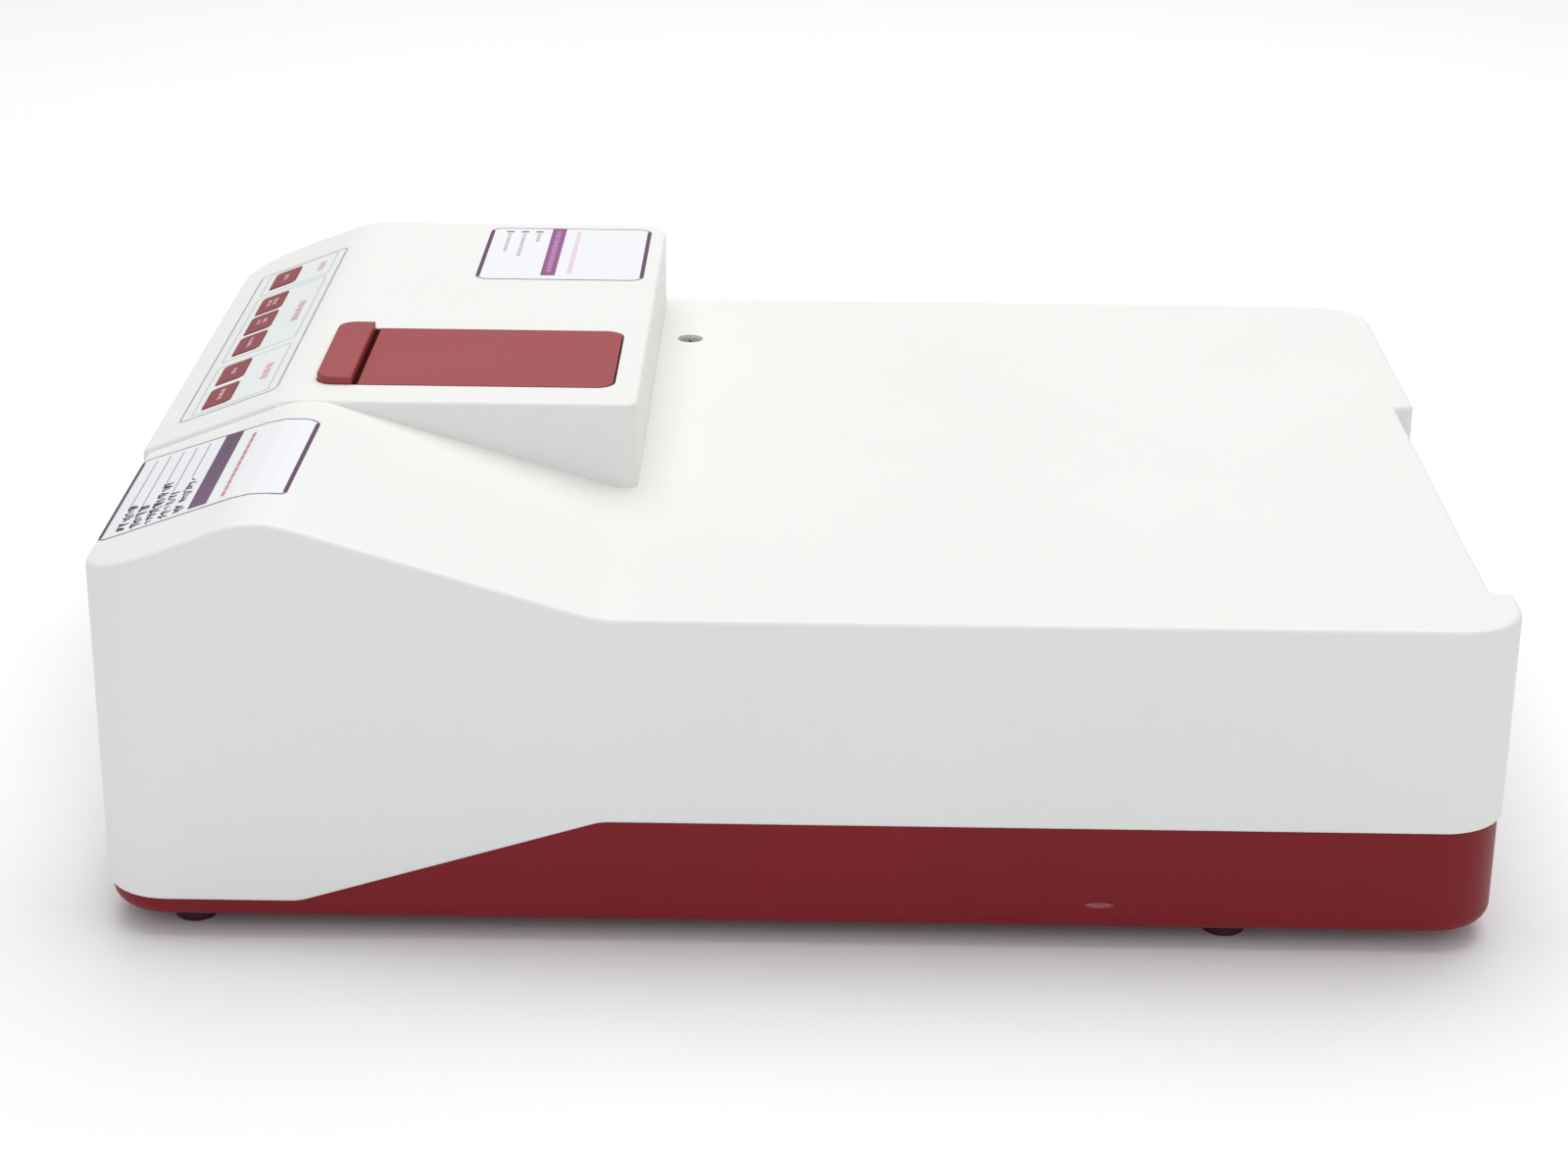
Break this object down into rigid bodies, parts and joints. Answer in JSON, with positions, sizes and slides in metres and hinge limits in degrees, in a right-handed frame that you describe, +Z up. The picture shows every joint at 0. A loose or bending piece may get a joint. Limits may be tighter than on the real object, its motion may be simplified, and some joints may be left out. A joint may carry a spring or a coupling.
{
  "type": "microplate reader",
  "caption": "Bench-top absorbance reader: white sloping cover on a burgundy base, keypad and hinged cuvette lid on a raised block, plate carrier behind a front shutter.",
  "frame": {"origin": "on the table, below the middle of the housing's bounding box", "axes": "+Z up, +Y to the back of the instrument, +X to the user's right; the keypad and the plate door face -Y"},
  "size_m": [0.33, 0.4312, 0.1391],
  "materials": {
    "white_plastic": "fine matt moulded plastic, warm white",
    "base_plastic": "satin burgundy plastic",
    "rubber": "matt",
    "film": "thin printed film, satin",
    "key_plastic": "satin burgundy",
    "lid_plastic": "fine matt burgundy",
    "circuit_board": "green solder mask",
    "black_plastic": "matt",
    "black_anodised": "black anodised",
    "steel": "bright",
    "zinc_sheet": "zinc-plated sheet",
    "aluminium": "machined",
    "carrier_paint": "fine black coat",
    "panel_paint": "light grey coat",
    "motor_paint": "black coat",
    "belt_rubber": "matt",
    "fibre_jacket": "matt jacket",
    "chip_plastic": "matt moulding"
  },
  "bodies": {
    "housing": {"top_cover": "white_plastic", "base_pan": "base_plastic", "foot_front_left": "rubber", "foot_front_right": "rubber", "foot_rear_left": "rubber", "foot_rear_right": "rubber", "keypad_overlay": "film", "key_board": "circuit_board", "main_board": "circuit_board", "power_inlet": "black_plastic", "switch_frame": "black_plastic", "fan_frame": "black_plastic", "shutter_guides": "black_plastic", "cuvette_well": "black_anodised", "read_head": "black_anodised", "spectrometer": "black_anodised", "plate_collector": "black_anodised", "transport_lock": "steel", "chassis_screws": "steel", "rod_left": "steel", "rod_right": "steel", "idler_bracket": "steel", "inlet_screws": "steel", "inlet_pins": "steel", "usb_socket": "steel", "chassis_plate": "zinc_sheet", "shelf": "zinc_sheet", "power_supply": "zinc_sheet", "rod_bracket_front": "aluminium", "rod_bracket_rear": "aluminium", "flash_lamp": "aluminium", "rear_panel": "panel_paint", "drive_motor": "motor_paint", "drive_belt": "belt_rubber", "plate_fibre": "fibre_jacket", "supply_fibre": "fibre_jacket", "cuvette_fibre": "fibre_jacket", "board_parts": "chip_plastic"},
    "cuvette_lid": {"cuvette_lid": "lid_plastic", "lid_pins": "steel"},
    "plate_shutter": {"plate_shutter": "black_plastic"},
    "cross_beam": {"cross_beam": "aluminium", "cross_rail": "steel", "cross_belt": "belt_rubber", "cross_motor": "motor_paint", "cross_shafts": "steel"},
    "plate_carrier": {"plate_carrier": "carrier_paint", "rail_slider": "aluminium"},
    "drive_pulley": {"drive_pulley": "aluminium"},
    "drive_idler": {"drive_idler": "aluminium"},
    "cross_pulley": {"cross_pulley": "aluminium"},
    "cross_idler": {"cross_idler": "aluminium"},
    "fan_rotor": {"fan_rotor": "black_plastic"},
    "power_rocker": {"power_rocker": "black_plastic"},
    "key_1": {"key_1": "key_plastic"},
    "key_2": {"key_2": "key_plastic"},
    "key_3": {"key_3": "key_plastic"},
    "key_4": {"key_4": "key_plastic"},
    "key_5": {"key_5": "key_plastic"},
    "key_6": {"key_6": "key_plastic"}
  },
  "joints": [
    {"name": "key_1_press", "type": "slide", "parent": "housing", "child": "key_1", "axis": [0, 0.359, -0.9333], "range_m": [0, 0.0005], "stiffness_N_per_m": 800, "springref_m": -0.0005},
    {"name": "key_2_press", "type": "slide", "parent": "housing", "child": "key_2", "axis": [0, 0.359, -0.9333], "range_m": [0, 0.0005], "stiffness_N_per_m": 800, "springref_m": -0.0005},
    {"name": "key_3_press", "type": "slide", "parent": "housing", "child": "key_3", "axis": [0, 0.359, -0.9333], "range_m": [0, 0.0005], "stiffness_N_per_m": 800, "springref_m": -0.0005},
    {"name": "key_4_press", "type": "slide", "parent": "housing", "child": "key_4", "axis": [0, 0.359, -0.9333], "range_m": [0, 0.0005], "stiffness_N_per_m": 800, "springref_m": -0.0005},
    {"name": "key_5_press", "type": "slide", "parent": "housing", "child": "key_5", "axis": [0, 0.359, -0.9333], "range_m": [0, 0.0005], "stiffness_N_per_m": 800, "springref_m": -0.0005},
    {"name": "key_6_press", "type": "slide", "parent": "housing", "child": "key_6", "axis": [0, 0.359, -0.9333], "range_m": [0, 0.0005], "stiffness_N_per_m": 800, "springref_m": -0.0005},
    {"name": "cuvette_lid_hinge", "type": "hinge", "parent": "housing", "child": "cuvette_lid", "pos_m": [0.005, -0.0705, 0.1355], "axis": [-1, 0, 0], "range_deg": [0, 95]},
    {"name": "plate_slide", "type": "slide", "parent": "housing", "child": "cross_beam", "axis": [0, -1, 0], "range_m": [0, 0.317]},
    {"name": "column_slide", "type": "slide", "parent": "cross_beam", "child": "plate_carrier", "axis": [1, 0, 0], "range_m": [-0.03, 0.069]},
    {"name": "shutter_lift", "type": "slide", "parent": "housing", "child": "plate_shutter", "axis": [0, 0, 1], "range_m": [0, 0.0429]},
    {"name": "drive_pulley_spin", "type": "hinge", "parent": "housing", "child": "drive_pulley", "pos_m": [0.106, 0.1795, 0.029], "axis": [1, 0, 0], "continuous": true},
    {"name": "drive_idler_spin", "type": "hinge", "parent": "housing", "child": "drive_idler", "pos_m": [0.106, -0.184, 0.029], "axis": [1, 0, 0], "continuous": true},
    {"name": "cross_pulley_spin", "type": "hinge", "parent": "cross_beam", "child": "cross_pulley", "pos_m": [0.07, 0.16498, 0.0355], "axis": [0, 0, 1], "continuous": true},
    {"name": "cross_idler_spin", "type": "hinge", "parent": "cross_beam", "child": "cross_idler", "pos_m": [-0.137, 0.16498, 0.0355], "axis": [0, 0, 1], "continuous": true},
    {"name": "fan_spin", "type": "hinge", "parent": "housing", "child": "fan_rotor", "pos_m": [-0.009, 0.199, 0.0735], "axis": [0, 1, 0], "continuous": true},
    {"name": "power_switch", "type": "hinge", "parent": "housing", "child": "power_rocker", "pos_m": [0.047, 0.2026, 0.064], "axis": [0, 0, 1], "range_deg": [-14, 0]}
  ],
  "couplings": [
    {"joint": "shutter_lift", "follows": "plate_slide", "ratio": 0.1353},
    {"joint": "drive_pulley_spin", "follows": "plate_slide", "rad_per_m": 116.28},
    {"joint": "drive_idler_spin", "follows": "plate_slide", "rad_per_m": 116.28},
    {"joint": "cross_pulley_spin", "follows": "column_slide", "rad_per_m": 151.5},
    {"joint": "cross_idler_spin", "follows": "column_slide", "rad_per_m": 151.5}
  ]
}
